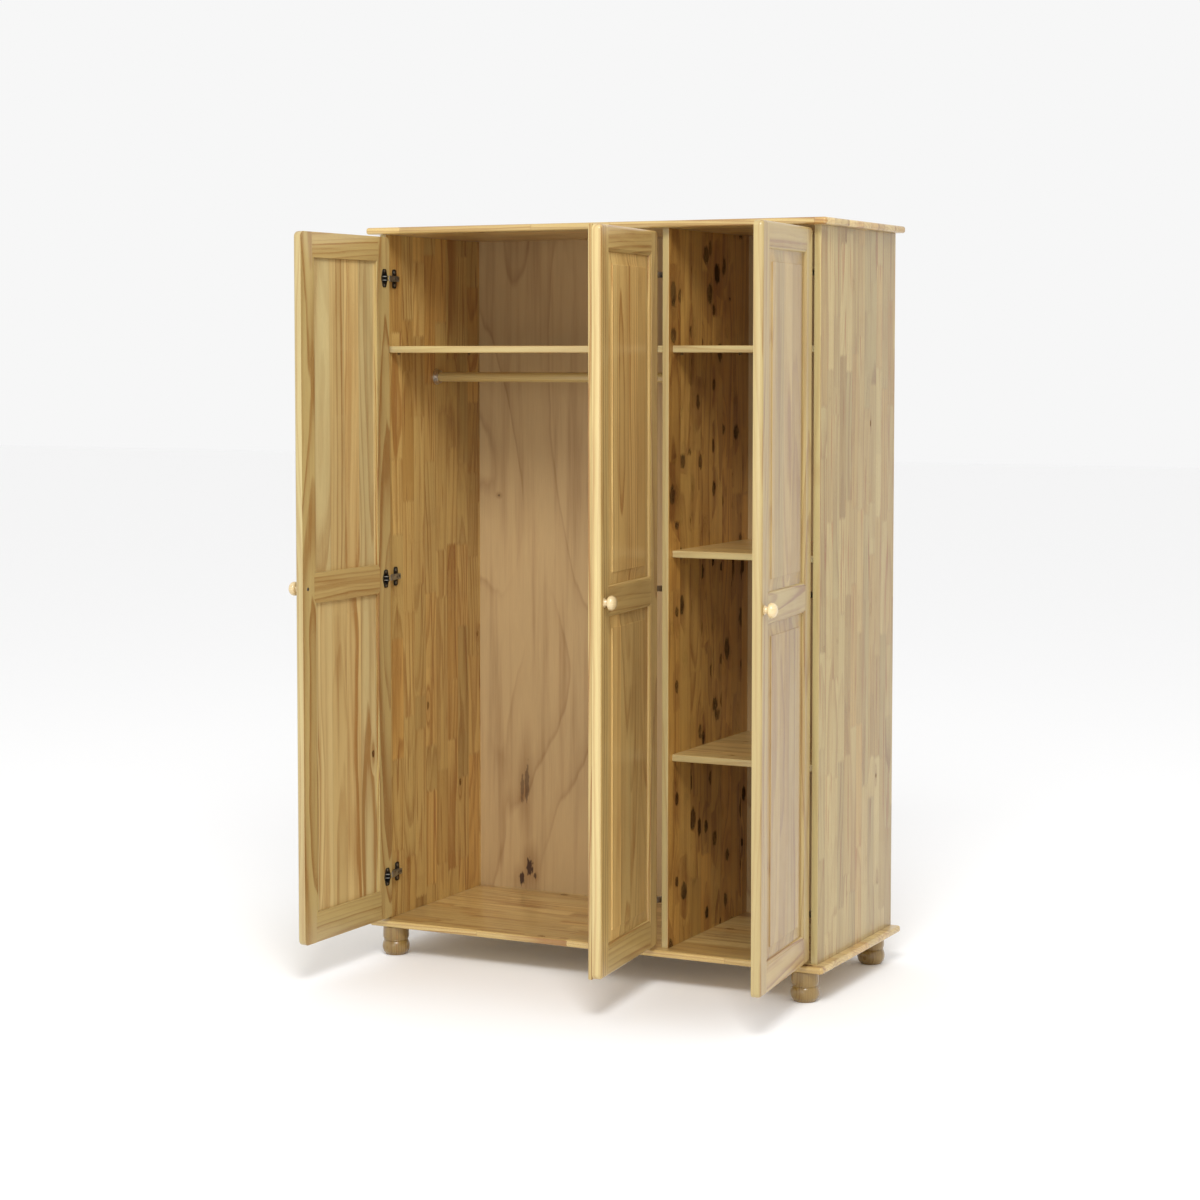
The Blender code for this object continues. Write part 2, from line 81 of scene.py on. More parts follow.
# ---- shader graphs
class Graph:
    """Short names for building a material's nodes."""

    def __init__(self, name):
        self.material = bpy.data.materials.new(name)
        self.material.use_nodes = True
        self.tree = self.material.node_tree
        self.shader = self.tree.nodes["Principled BSDF"]
        self.column = 0

    def node(self, kind, **settings):
        made = self.tree.nodes.new(kind)
        for key, value in settings.items():
            setattr(made, key, value)
        made.location = (-220 * (self.column % 12) - 300, -260 * (self.column // 12))
        self.column += 1
        return made

    def feed(self, socket, value):
        if isinstance(value, bpy.types.NodeSocket):
            self.tree.links.new(value, socket)
        elif value is not None:
            socket.default_value = value

    def set(self, name, value):
        self.feed(self.shader.inputs[name], value)

    def fed(self, kind, values, output=0, **settings):
        """Adds a node, feeds its inputs in their order and gives back one of its outputs."""
        made = self.node(kind, **settings)
        for socket, value in zip(made.inputs, values):
            self.feed(socket, value)
        return made.outputs[output]

    def math(self, operation, first, second=None, third=None, clamp=False):
        return self.fed("ShaderNodeMath", (first, second, third), operation=operation,
                        use_clamp=clamp)

    add = partialmethod(math, "ADD")
    sub = partialmethod(math, "SUBTRACT")
    mul = partialmethod(math, "MULTIPLY")
    div = partialmethod(math, "DIVIDE")
    scaled = partialmethod(math, "MULTIPLY_ADD")

    def vector(self, x, y, z):
        return self.fed("ShaderNodeCombineXYZ", (x, y, z))

    def split(self, value):
        made = self.node("ShaderNodeSeparateXYZ")
        self.feed(made.inputs[0], value)
        return made.outputs

    def length(self, x, y, z):
        return self.fed("ShaderNodeVectorMath", (self.vector(x, y, z),), "Value",
                        operation="LENGTH")

    def layer(self, name):
        return self.fed("ShaderNodeAttribute", (), "Vector", attribute_name=name)

    def noise(self, vector, scale, detail=2.0, roughness=0.5):
        # the input between the place and the scale is for 4-D noise only
        return self.fed("ShaderNodeTexNoise", (vector, None, scale, detail, roughness), "Fac")

    def stretched(self, *axes, detail=2.0, roughness=0.5):
        """Noise with a scale of its own along each axis that is given as (value, scale)."""
        place = self.vector(*(self.mul(*axis) if isinstance(axis, tuple) else axis
                              for axis in axes))
        return self.noise(place, 1.0, detail, roughness)

    def chance(self, vector):
        return self.split(self.fed("ShaderNodeTexWhiteNoise", (vector,), "Color",
                                   noise_dimensions="3D"))

    def smooth(self, value, low, high, to_low=0.0, to_high=1.0):
        return self.fed("ShaderNodeMapRange", (value, low, high, to_low, to_high),
                        interpolation_type="SMOOTHSTEP")

    def ramp(self, value, stops):
        made = self.node("ShaderNodeValToRGB")
        self.feed(made.inputs[0], value)
        elements = made.color_ramp.elements
        while len(elements) < len(stops):
            elements.new(0.5)
        for element, (place, level) in zip(elements, stops):
            element.position = place
            element.color = (level, level, level, 1.0)
        return made.outputs[0]

    def mix(self, factor, first, second, blend="MIX"):
        made = self.node("ShaderNodeMix", data_type="RGBA", blend_type=blend)
        self.feed(made.inputs[0], factor)
        for socket, entry in ((made.inputs[6], first), (made.inputs[7], second)):
            self.feed(socket, (*entry, 1.0) if isinstance(entry, tuple) else entry)
        return made.outputs[2]

    def tint(self, colour, other):
        return self.mix(1.0, colour, other, "MULTIPLY")

    def bump(self, height, strength, distance):
        made = self.node("ShaderNodeBump")
        made.inputs["Strength"].default_value = strength
        made.inputs["Distance"].default_value = distance
        self.feed(made.inputs["Height"], height)
        self.set("Normal", made.outputs[0])


KNOT_RIM = (0.02, 0.009, 0.005)
BROWN_KNOT = ((0.15, 0.058, 0.018), (0.07, 0.025, 0.009))  # its heart, then its body
BLACK_KNOT = ((0.03, 0.012, 0.006), (0.01, 0.005, 0.003))
GLUE = (0.2, 0.1, 0.035)
RESIN = (0.3, 0.13, 0.036)
SHEET_KNOT = (0.045, 0.02, 0.012)
RUDDY = (0.9, 0.76, 0.6)  # what the ruddiest strips multiply their colour by
PAINTED_WARMTH_TINT = (0.97, 0.72, 0.36)  # and what a door's painted warmth multiplies it by: a warm tint that stands in for light on the open doors


def wood(name, early, late, stave=0.0, length=0.45, finger=0.009, ring=0.0085, contrast=0.75,
         knots=0.15, knot_size=(0.0035, 0.0075), knot_cell=(0.26, 0.09), knot_long=1.1, tone=0.1,
         resin=0.5, flecks=0.69, rough=0.36, coat=0.55, knot=BROWN_KNOT):
    """Solid pine. The mesh's "log" attribute gives x along the grain, y across the board and
    z into it, in metres from the board's middle line; "tree" how far the middle of the tree
    lies across and below, and a number of the board's own; the third layer how much lighter or
    darker and how much warmer the board is drawn, which is painted light and shade standing in
    for the uneven light on the open doors, and how far from its middle line knots may lie.
    stave is the width of the strips that a board is glued from, length their length and finger
    that of their joints."""
    g = Graph(name)
    place = g.layer("log")
    along, across, deep = g.split(place)
    pith_y, pith_z, seed = g.split(g.layer("tree"))
    # Painted light and shade: the first two numbers of the third layer make a door's wood lighter
    # or darker and warmer, standing in for the light on it; they are 1 and 0 on other boards
    painted_light_level, painted_warmth, clear = g.split(g.layer("painted_light"))

    # Which strip of the board: rows across it, pieces of uneven length along each row
    if stave:
        row_place = g.div(g.scaled(seed, 0.37, across), stave)
        row = g.math("FLOOR", row_place)
        row_chance = g.chance(g.vector(row, seed, 3.7))
        toothed = g.math("PINGPONG", across, TOOTH)
        teeth = g.scaled(toothed, finger / TOOTH, along)
        run = g.scaled(row_chance[0], 11.3, g.div(teeth, length))
        nearest = g.math("FLOOR", g.add(run, 0.5))
        jitter = g.chance(g.vector(nearest, row, g.add(seed, 2.0)))[0]
        border = g.scaled(g.sub(jitter, 0.5), 0.75, nearest)
        piece = g.sub(nearest, g.math("LESS_THAN", run, border))
        joint = g.mul(g.math("ABSOLUTE", g.sub(run, border)), length)
        seam = g.mul(g.math("PINGPONG", row_place, 0.5), stave)
        middle = g.mul(g.sub(g.math("FRACT", row_place), 0.5), stave)
        hash_a = g.chance(g.vector(row, piece, g.add(seed, 1.3)))
        hash_b = g.chance(g.vector(piece, row, g.add(seed, 9.1)))
        pith_y = g.mul(g.sub(hash_a[1], 0.5), 0.09)
        pith_z = g.scaled(hash_a[2], -0.085, -0.02)
    else:
        hash_a = g.chance(g.vector(seed, 1.7, 0.3))
        hash_b = g.chance(g.vector(seed, 4.1, 7.9))
        middle = across

    # Place in the tree that this strip was cut from; the tree leans a little along the board
    tree_x = g.scaled(hash_a[0], 6.0, along)
    lean_y = g.stretched((tree_x, 0.9), seed, 4.4, detail=0.0)
    lean_z = g.stretched((tree_x, 1.1), seed, 9.4, detail=0.0)
    tree_y = g.sub(g.scaled(lean_y, 0.06, middle), pith_y)
    tree_z = g.sub(g.scaled(lean_z, 0.07, deep), pith_z)

    # Knots: one per cell at most, as a rod through the board's thickness
    sideways = g.mul(hash_b[0], 3.0)
    cell = g.vector(g.div(tree_x, knot_cell[0]), g.div(g.add(sideways, across), knot_cell[1]), 0.0)
    voronoi = g.node("ShaderNodeTexVoronoi", voronoi_dimensions="2D")
    voronoi.inputs["Scale"].default_value = 1.0
    voronoi.inputs["Randomness"].default_value = 0.85
    g.feed(voronoi.inputs["Vector"], cell)
    pick, size_pick, shape_pick = g.split(voronoi.outputs["Color"])
    away = g.fed("ShaderNodeVectorMath", (cell, voronoi.outputs["Position"]), operation="SUBTRACT")
    away_x, away_y, _ = g.split(away)
    radius = g.scaled(size_pick, knot_size[1] - knot_size[0], knot_size[0])
    slant = g.scaled(shape_pick, 0.9, knot_long)
    near_x = g.div(g.mul(away_x, knot_cell[0]), g.mul(radius, slant))
    near_y = g.div(g.mul(away_y, knot_cell[1]), radius)
    torn = g.stretched((along, 70.0), (across, 210.0), 0.0)
    torn = g.scaled(torn, 2 * RAGGED, -RAGGED)
    near = g.add(g.length(near_x, near_y, 0.0), torn)
    there = g.math("LESS_THAN", pick, knots)
    centre = g.mul(g.split(voronoi.outputs["Position"])[1], knot_cell[1])
    centre = g.math("ABSOLUTE", g.sub(centre, sideways))
    there = g.mul(there, g.math("LESS_THAN", centre, clear))
    core = g.mul(g.smooth(near, 1.15, 0.85), there)
    halo_near = g.length(g.mul(near_x, 0.42), near_y, 0.0)
    halo = g.mul(g.smooth(halo_near, 3.0, 0.8), there)

    # Growth rings round the pith, uneven from year to year and flowing round the knots
    drift = g.stretched((tree_x, 3.0), (tree_y, 16.0), (tree_z, 16.0))
    from_pith = g.length(0.0, tree_y, tree_z)
    wander = g.scaled(drift, 1.2 * ring, from_pith)
    wander = g.scaled(halo, 1.1 * ring, wander)
    uneven = g.stretched((wander, 55.0), seed, hash_a[0])
    phase = g.scaled(uneven, 2.2, g.div(wander, ring))
    year = g.chance(g.vector(g.math("FLOOR", phase), hash_a[0], seed))
    ring_line = g.ramp(g.math("FRACT", phase), [(0.0, 0.0), (0.34, 0.05), (0.6, 0.32), (0.82, 1.0),
                                                (0.92, 0.9), (1.0, 0.0)])
    ring_line = g.mul(ring_line, g.scaled(year[0], 0.75, 0.25))

    # Streaks, resin flecks and fibres along the grain
    streak = g.stretched((tree_x, 1.6), (tree_y, 48.0), (tree_z, 48.0), detail=3.0)
    fleck = g.stretched((tree_x, 4.5), (middle, 85.0), hash_b[1], detail=1.0)
    fibre = g.stretched((tree_x, 22.0), (tree_y, 620.0), (tree_z, 620.0), detail=1.0)
    patch = g.stretched((tree_x, 2.2), (tree_y, 14.0), hash_b[2], detail=1.0)

    strength = g.scaled(hash_b[2], 0.45 * contrast, 0.55 * contrast)
    darkness = g.mul(ring_line, strength)
    darkness = g.add(darkness, g.smooth(streak, 0.46, 0.74, 0.0, 0.42 * contrast))
    darkness = g.scaled(halo, 0.5, darkness, clamp=True)
    colour = g.mix(darkness, early, late)
    colour = g.mix(g.smooth(fleck, flecks, flecks + 0.11, 0.0, resin), colour, RESIN)
    light = g.scaled(hash_b[0], 2 * tone, 1.0 - tone)
    light = g.mul(light, g.scaled(patch, 0.24, 0.88))
    light = g.mul(light, g.scaled(fibre, 0.14, 0.93))
    # painted light and shade: a door's own level scales its brightness
    light = g.mul(light, painted_light_level)
    ruddy = g.smooth(hash_b[1], 0.45, 1.0, 0.0, min(1.0, 5.0 * tone))
    colour = g.tint(colour, g.mix(ruddy, WHITE, RUDDY))
    # painted warmth: a warm tint that stands in for light on the open doors
    colour = g.tint(colour, g.mix(painted_warmth, WHITE, PAINTED_WARMTH_TINT))
    colour = g.tint(colour, g.vector(light, light, light))
    rim = g.smooth(g.math("ABSOLUTE", g.sub(near, 0.95)), 0.16, 0.02)
    heart = g.mix(g.smooth(near, 0.1, 0.9), *knot)
    heart = g.mix(g.mul(rim, 0.85), heart, KNOT_RIM)
    colour = g.mix(g.mul(core, 0.96), colour, heart)
    if stave:
        glued = g.math("MAXIMUM", g.smooth(joint, 0.0008, 0.0002, 0.0, 0.7 if finger else 0.0),
                       g.smooth(seam, 0.0006, 0.0001, 0.0, 0.45))
        colour = g.mix(glued, colour, GLUE)
    g.set("Base Color", colour)

    gloss = g.scaled(ring_line, -0.06, rough)
    gloss = g.scaled(g.noise(place, 22.0, detail=3.0), 0.14, g.sub(gloss, 0.07))
    g.set("Roughness", g.scaled(core, 0.4, gloss))
    g.set("Coat Weight", g.scaled(core, -coat, coat))
    g.set("Coat Roughness", 0.2)
    g.set("Specular IOR Level", g.scaled(core, -0.34, 0.38))
    relief = g.scaled(ring_line, 0.5, g.mul(fibre, 0.6))
    relief = g.scaled(core, 0.6, relief)
    g.bump(relief, 0.22, 0.0006)
    return g.material


# Knots of the back sheet: height and sideways place from its middle, half width, how many
# times longer than wide, how dark; the first five are the two groups low on the sheet
SHEET_KNOTS = ((-0.832, -0.448, 0.008, 2.0, 0.95), (-0.8, -0.424, 0.01, 2.3, 0.95),
               (-0.822, -0.408, 0.0045, 1.6, 0.8), (-0.59, -0.446, 0.005, 7.5, 0.5),
               (-0.575, -0.432, 0.0065, 8.0, 0.55), (0.19, -0.515, 0.0035, 0.9, 0.6),
               (-0.33, 0.36, 0.007, 1.8, 0.8), (0.51, 0.29, 0.006, 1.6, 0.8))


def plywood(name, early, late):
    """Rotary-cut veneer: rings met almost flat, so they show as long thin flames, arched where
    they close, with a few torn knots."""
    g = Graph(name)
    along, across, _ = g.split(g.layer("log"))
    hill = g.stretched((along, 0.85), (across, 3.6), 0.0, detail=1.0, roughness=0.3)
    small = g.stretched((along, 5.0), (across, 22.0), 2.0)
    phase = g.scaled(small, 0.3, g.mul(hill, 8.0))
    flame = g.ramp(g.math("FRACT", phase), [(0.0, 0.0), (0.66, 0.04), (0.88, 0.36), (0.95, 1.0),
                                            (0.985, 0.25), (1.0, 0.0)])
    where = g.stretched((along, 1.3), (across, 3.0), 7.0, detail=1.0)
    flame = g.mul(flame, g.smooth(where, 0.4, 0.62, 0.06, 1.0))
    fibre = g.stretched((along, 16.0), (across, 520.0), 0.0)
    streak = g.stretched((along, 1.6), (across, 40.0), 5.0, detail=4.0)
    cloud = g.stretched((along, 1.6), (across, 4.0), 11.0, detail=3.0)
    torn = g.stretched((along, 60.0), (across, 190.0), 3.0)
    torn = g.scaled(torn, 1.9, -0.95)
    core, halo = None, None
    for height, side, radius, long, dark in SHEET_KNOTS:
        away = g.length(g.div(g.sub(along, height), radius * long),
                        g.div(g.sub(across, side), radius), 0.0)
        black = g.smooth(g.add(away, torn), 1.15, 0.75, 0.0, dark)
        stain = g.smooth(away, 4.2, 0.8)
        core = g.math("MAXIMUM", core, black) if core else black
        halo = g.math("MAXIMUM", halo, stain) if halo else stain
    darkness = g.scaled(flame, 0.42, g.smooth(streak, 0.44, 0.76, 0.0, 0.45))
    darkness = g.scaled(halo, 0.4, darkness, clamp=True)
    colour = g.mix(darkness, early, late)
    light = g.mul(g.scaled(fibre, 0.18, 0.91), g.scaled(cloud, 0.36, 0.82))
    colour = g.tint(colour, g.vector(light, light, light))
    colour = g.mix(core, colour, SHEET_KNOT)
    g.set("Base Color", colour)
    g.set("Roughness", g.scaled(streak, 0.16, 0.44))
    g.set("Specular IOR Level", 0.4)
    g.bump(g.scaled(flame, 0.4, fibre), 0.22, 0.0005)
    return g.material


def steel(name, colour, rough, brushed=1.0):
    """Plated or bare steel: soft scratches, faint stains and duller patches."""
    g = Graph(name)
    place = g.node("ShaderNodeTexCoord").outputs["Object"]
    stain = g.noise(place, 90.0, detail=4.0, roughness=0.6)
    x, y, z = g.split(place)
    scratch = g.stretched((x, 300.0), (y, 300.0), (z, 3200.0))
    dull = tuple(0.55 * part for part in colour)
    g.set("Base Color", g.mix(g.smooth(stain, 0.4, 0.72), colour, dull))
    blend = g.scaled(scratch, 0.16 * brushed, rough - 0.08)
    g.set("Roughness", g.scaled(stain, 0.14, blend))
    g.set("Metallic", 1.0)
    g.bump(g.scaled(scratch, 0.5, stain), 0.1 * brushed, 0.0002)
    return g.material


# Early and late wood of each kind of board
# PALE, the outsides of the side boards, is drawn darker: painted shade making up for the strong
# light they get. TAWNY, the left side's inside, is drawn lighter and warmer with less blue: partly
# painted bounce light of the shaded interior, partly the wood's own reddish tone. The left side's
# two faces are lit and shaded copies of one wood.
PALE = ((0.44, 0.334, 0.145), (0.265, 0.148, 0.046))
HONEY = ((0.53, 0.405, 0.165), (0.31, 0.16, 0.045))
TAWNY = ((0.59, 0.41, 0.14), (0.31, 0.145, 0.034))
CREAM = ((0.605, 0.49, 0.235), (0.35, 0.195, 0.062))
STRAW = ((0.62, 0.455, 0.18), (0.35, 0.18, 0.055))
# AMBER, the partition, keeps its blue low: partly painted warm bounce light of the shaded
# compartments, partly the wood's own amber tone
AMBER = ((0.58, 0.345, 0.09), (0.26, 0.105, 0.022))
WOODS = {
    # board faces that are glued from finger-jointed strips
    # the side boards' outsides, drawn darker as painted shade making up for their strong light
    "side": wood("pine_side", *PALE, stave=0.04, length=0.3, knots=0.1,
                 tone=0.17, contrast=0.9, resin=0.8, flecks=0.61, coat=0.35),
    # the left side's inside, warmer with less blue: partly painted bounce light of the shaded
    # interior
    "inner_side": wood("pine_inner_side", *TAWNY, stave=0.056, length=0.27,
                       knots=0.05, tone=0.23, contrast=1.25, resin=0.85, flecks=0.6),
    "partition": wood("pine_partition", *AMBER, stave=0.062, length=0.6,
                      knots=0.62, knot_size=(0.0085, 0.0165), knot_cell=(0.118, 0.085),
                      knot_long=1.2, tone=0.16, contrast=1.1, knot=BLACK_KNOT),
    "slab": wood("pine_slab", *STRAW, stave=0.047, length=0.36, knots=0.22,
                 tone=0.17, contrast=1.2, resin=0.85, flecks=0.6),
    "shelf": wood("pine_shelf", *STRAW, stave=0.047, length=0.4, knots=0.2,
                  tone=0.15, contrast=1.1, resin=0.8, flecks=0.61),
    # door members from one piece, door panels glued from wider strips
    "frame": wood("pine_frame", *HONEY, ring=0.011, knots=0.05, contrast=1.25, tone=0.07,
                  coat=0.38),
    "edge": wood("pine_edge", (0.525, 0.43, 0.2), (0.37, 0.23, 0.09), ring=0.011,
                 knots=0.0, contrast=0.8, tone=0.05),
    "panel": wood("pine_panel", *CREAM, stave=0.064, length=60.0, finger=0.0, ring=0.012,
                  knots=0.012, contrast=1.25, tone=0.15, resin=0.3, coat=0.35),
    "turned": wood("pine_turned", (0.285, 0.184, 0.054), (0.15, 0.068, 0.017), ring=0.0065,
                   knots=0.0, contrast=0.95, tone=0.06, rough=0.32, coat=0.6),
    "dowel": wood("pine_dowel", *HONEY, ring=0.005, knots=0.0, contrast=0.6, tone=0.04),
    "knob": wood("pine_knob", (0.7, 0.55, 0.3), (0.48, 0.3, 0.12), ring=0.005,
                 knots=0.0, contrast=0.6, tone=0.03, resin=0.0, rough=0.26, coat=0.9),
    # the back sheet's blue is held low too: partly painted warm bounce light inside the carcass
    "veneer": plywood("pine_plywood", (0.505, 0.35, 0.168), (0.24, 0.12, 0.042)),
}
# Painted light and shade on each door: how much lighter or darker and how much warmer its frame
# and its panels are drawn, standing in for the uneven light and reflections on the open doors; the
# wood is the same
PAINTED_LIGHT_ON_DOORS = {"left": ((1.0, 0.05), (1.1, 0.0)), "middle": ((1.12, 0.18), (1.22, 0.52)),
          "right": ((0.87, 0.2), (0.74, 0.48))}
# Nickel plate drawn near black: painted dark reflection standing in for the dark surroundings that
# the hinges mirror; the plated steel itself is much lighter
NICKEL_PAINTED_DARK = steel("nickel_plate_painted_dark", (0.06, 0.058, 0.054), 0.46)
LINK = steel("hinge_link", (0.42, 0.42, 0.39), 0.34)
PIN = steel("shelf_pin", (0.36, 0.25, 0.12), 0.42)
BRIGHT = steel("bright_steel", (0.66, 0.6, 0.5), 0.3, brushed=0.6)
ZINC = steel("zinc_screw", (0.24, 0.23, 0.205), 0.32, brushed=0.6)


# ---- mesh tools
class Grain:
    """How a board lies in its tree: axes are the indices of the directions along the grain,
    across the board and into it; pith is how far across and below its middle the tree's
    middle is."""

    def __init__(self, axes, seed, pith=None, painted_light=(1.0, 0.0)):
        draw = random.Random(seed)
        self.axes = axes
        self.start = draw.uniform(-3.0, 3.0)
        drawn = (draw.uniform(-0.045, 0.045), draw.uniform(-0.095, -0.035))
        self.pith = pith or drawn
        self.seed = draw.random()
        # painted light level and warmth of a door's wood; neutral on other boards
        self.painted_light = painted_light
        self.centre = None

    def settle(self, bm):
        if self.centre is None:
            low, high = extent([vert.co for vert in bm.verts])
            self.centre = [(low[axis] + high[axis]) / 2 for axis in range(3)]
            across = self.axes[1]
            self.clear = high[across] - self.centre[across] - KNOT_FREE_EDGE

    def tell(self, co):
        """What a point's layers say: its place in the log, the tree, and the board's painted light
        level and warmth with its knot clearance.
        """
        along, across, deep = self.axes
        place = (co[along] + self.start, co[across] - self.centre[across],
                 co[deep] - self.centre[deep])
        return place, (*self.pith, self.seed), (*self.painted_light, self.clear)


class Build:
    """Collects closed bodies into one mesh; each body brings its own grain."""

    def __init__(self, materials):
        self.materials = materials
        self.points, self.faces, self.slots = [], [], []
        self.layers = {"log": [], "tree": [], "painted_light": []}

    def add(self, bm, grain=None, slot=0):
        start = len(self.points)
        bm.verts.index_update()
        if grain:
            grain.settle(bm)
        for vert in bm.verts:
            self.points.append(vert.co.copy())
            told = grain.tell(vert.co) if grain else (vert.co, (0.0, 0.0, 0.0), (1.0, 0.0, 0.0))
            for values, entry in zip(self.layers.values(), told):
                values.extend(entry)
        for face in bm.faces:
            self.faces.append([start + vert.index for vert in face.verts])
            self.slots.append(slot(face) if callable(slot) else slot)
        bm.free()
        return self

    def mesh(self, name, angle=35):
        made = bpy.data.meshes.new(name)
        made.from_pydata(self.points, [], self.faces)
        for surface in self.materials:
            made.materials.append(surface)
        made.polygons.foreach_set("material_index", self.slots)
        for layer_name, values in self.layers.items():
            layer = made.attributes.new(layer_name, "FLOAT_VECTOR", "POINT")
            layer.data.foreach_set("vector", values)
        made.shade_smooth()
        made.set_sharp_from_angle(angle=math.radians(angle))
        made.update()
        return made

    def screw(self, radius, place, slot=1):
        self.add(moved(screw_head(radius), place), slot=slot)

    def stand_for(self, node, suffix, angle=35, door=None):
        """Puts the mesh in the place of its CAD node, on the carcass or on a door."""
        name = node + suffix
        made = self.mesh(name, angle)
        put(made, name, door.body if door else "carcass", node, door.matrix if door else None)


def put(mesh, name, body, node=None, matrix=None, shared=False):
    """Makes a mesh into a piece on its body, in the place of its CAD node if it has one; small
    fittings have none. matrix is worked into the mesh's points, unless pieces share them."""
    made = new_object(name, mesh)
    if shared:
        made.matrix_world = matrix
    elif matrix is not None:
        mesh.transform(matrix)
    bpy.context.view_layer.update()
    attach(made, body)
    if node:
        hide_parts(node)


def pose(x, y, z, degrees=0, axis="Z"):
    """A turn about an axis through the origin, then a move."""
    return Matrix.Translation((x, y, z)) @ Matrix.Rotation(math.radians(degrees), 4, axis)


def new_object(name, data):
    made = bpy.data.objects.new(name, data)
    bpy.context.scene.collection.objects.link(made)
    return made


def extent(spots):
    return ([min(spot[axis] for spot in spots) for axis in range(3)],
            [max(spot[axis] for spot in spots) for axis in range(3)])


def outward(bm):
    bmesh.ops.recalc_face_normals(bm, faces=bm.faces)
    return bm


def circle(radius, count):
    angles = [2 * math.pi * index / count for index in range(count)]
    return [(radius * math.cos(angle), radius * math.sin(angle)) for angle in angles]


def block(low, high):
    low, high = Vector(low), Vector(high)
    bm = bmesh.new()
    bmesh.ops.create_cube(bm, size=1.0)
    bmesh.ops.scale(bm, vec=high - low, verts=bm.verts)
    bmesh.ops.translate(bm, vec=(low + high) / 2, verts=bm.verts)
    return bm


def on_side(edge, axis, level):
    return all(abs(vert.co[axis] - level) < 0.00002 for vert in edge.verts)


def runs_along(edge, axis):
    run = edge.verts[1].co - edge.verts[0].co
    return abs(run[axis]) > 0.999 * run.length


def soften(bm, edges, radius, segments=4):
    bmesh.ops.bevel(bm, geom=list(edges), offset=radius, segments=segments, profile=0.5,
                    affect="EDGES", clamp_overlap=True)
    return bm


def prism(outline, low, high):
    """An outline in x and y drawn along z."""
    bm = bmesh.new()
    ring = [bm.verts.new((x, y, low)) for x, y in outline]
    grown = bmesh.ops.extrude_face_region(bm, geom=[bm.faces.new(ring)])
    far = [item for item in grown["geom"] if isinstance(item, bmesh.types.BMVert)]
    bmesh.ops.translate(bm, verts=far, vec=(0, 0, high - low))
    return outward(bm)


def lathe(profile, segments=48):
    """A closed turning about Z from (radius, height) points; radius 0 at both ends, or a ring
    whose profile closes on itself."""
    bm = bmesh.new()
    rings = []
    for radius, height in profile:
        spots = circle(radius, segments) if radius > 1e-6 else [(0, 0)]
        rings.append([bm.verts.new((x, y, height)) for x, y in spots])
    pairs = list(zip(rings, rings[1:]))
    if len(rings[0]) > 1:
        pairs.append((rings[-1], rings[0]))
    for upper, lower in pairs:
        for index in range(segments):
            after = (index + 1) % segments
            corners = (upper[index % len(upper)], lower[index % len(lower)],
                       lower[after % len(lower)], upper[after % len(upper)])
            bm.faces.new(list(dict.fromkeys(corners)))
    return outward(bm)


def rod(radius, low, high, segments=56):
    return lathe([(0, high), (radius, high), (radius, low), (0, low)], segments)


def arc(centre, radii, start, end, count):
    angles = [math.radians(start + (end - start) * index / count) for index in range(count + 1)]
    return [(centre[0] + radii[0] * math.cos(angle), centre[1] + radii[1] * math.sin(angle))
            for angle in angles]


def moved(bm, matrix):
    bmesh.ops.transform(bm, matrix=matrix, verts=bm.verts)
    if matrix.determinant() < 0:
        bmesh.ops.reverse_faces(bm, faces=bm.faces)
    return bm


def carve(bm, tools):
    """A body less the tools, as a new bmesh."""
    made = []
    for number, part in enumerate([bm, *tools]):
        mesh = bpy.data.meshes.new("carve")
        part.to_mesh(mesh)
        part.free()
        made.append(new_object("carve_" + str(number), mesh))
    for tool in made[1:]:
        step = made[0].modifiers.new("cut", "BOOLEAN")
        step.operation = "DIFFERENCE"
        step.object = tool
    graph = bpy.context.evaluated_depsgraph_get()
    mesh = bpy.data.meshes.new_from_object(made[0].evaluated_get(graph))
    result = bmesh.new()
    result.from_mesh(mesh)
    for old in (*(thing.data for thing in made), mesh):
        bpy.data.meshes.remove(old)  # with the object that shows it
    bmesh.ops.dissolve_limit(result, angle_limit=math.radians(0.5), verts=result.verts,
                             edges=result.edges)
    return result


# ---- carcass
def board(node, axes, look, radius, seed):
    """A board in its CAD node's box, its front edges along the grain rounded. Faces to the front
    show the lighter edge wood, and the left side's outside that of the right one's: the outside
    is drawn darker in painted shade and the inside warmer in painted bounce light, lit and
    shaded copies of one wood."""
    low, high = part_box(node)
    bm = block(low, high)
    front = [edge for edge in bm.edges if runs_along(edge, axes[0]) and on_side(edge, 1, low[1])]
    soften(bm, front, radius)
    bm.normal_update()

    def faces_slot(face):
        if face.normal.y < -0.6:
            return 1
        return 2 if node == "left_side" and face.normal.x < -0.6 else 0

    build = Build([WOODS[look], WOODS["edge"], WOODS["side"]])
    build.add(bm, Grain(axes, seed), faces_slot).stand_for(node, "_board")


def make_slabs():
    """Top and bottom boards: rounded in plan at the corners, then rounded all round."""
    for node, seed in (("top_board", 31), ("bottom_board", 32)):
        low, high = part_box(node)
        bm = block(low, high)
        corners = [edge for edge in bm.edges if runs_along(edge, 2) and on_side(edge, 1, low[1])]
        soften(bm, corners, SLAB_CORNER, 6)
        rims = [edge for edge in bm.edges
                if not runs_along(edge, 2) and not on_side(edge, 1, high[1])]
        soften(bm, rims, SLAB_EDGE, 6)
        Build([WOODS["slab"]]).add(bm, Grain((0, 1, 2), seed)).stand_for(node, "_slab")


def make_boards():
    sides = (("left_side", "inner_side", 41), ("right_side", "side", 42),
             ("partition", "partition", 43))
    for node, look, seed in sides:
        board(node, (2, 1, 0), look, BOARD_ARRIS, seed)
    for node, seed in zip(SHELVES, (44, 50, 51, 52)):
        board(node, (0, 1, 2), "shelf", SHELF_EDGE, seed)
    low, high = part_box("back_panel")
    grain = Grain((2, 0, 1), 45)
    grain.start = -(low[2] + high[2]) / 2
    Build([WOODS["veneer"]]).add(block(low, high), grain).stand_for("back_panel", "_sheet")


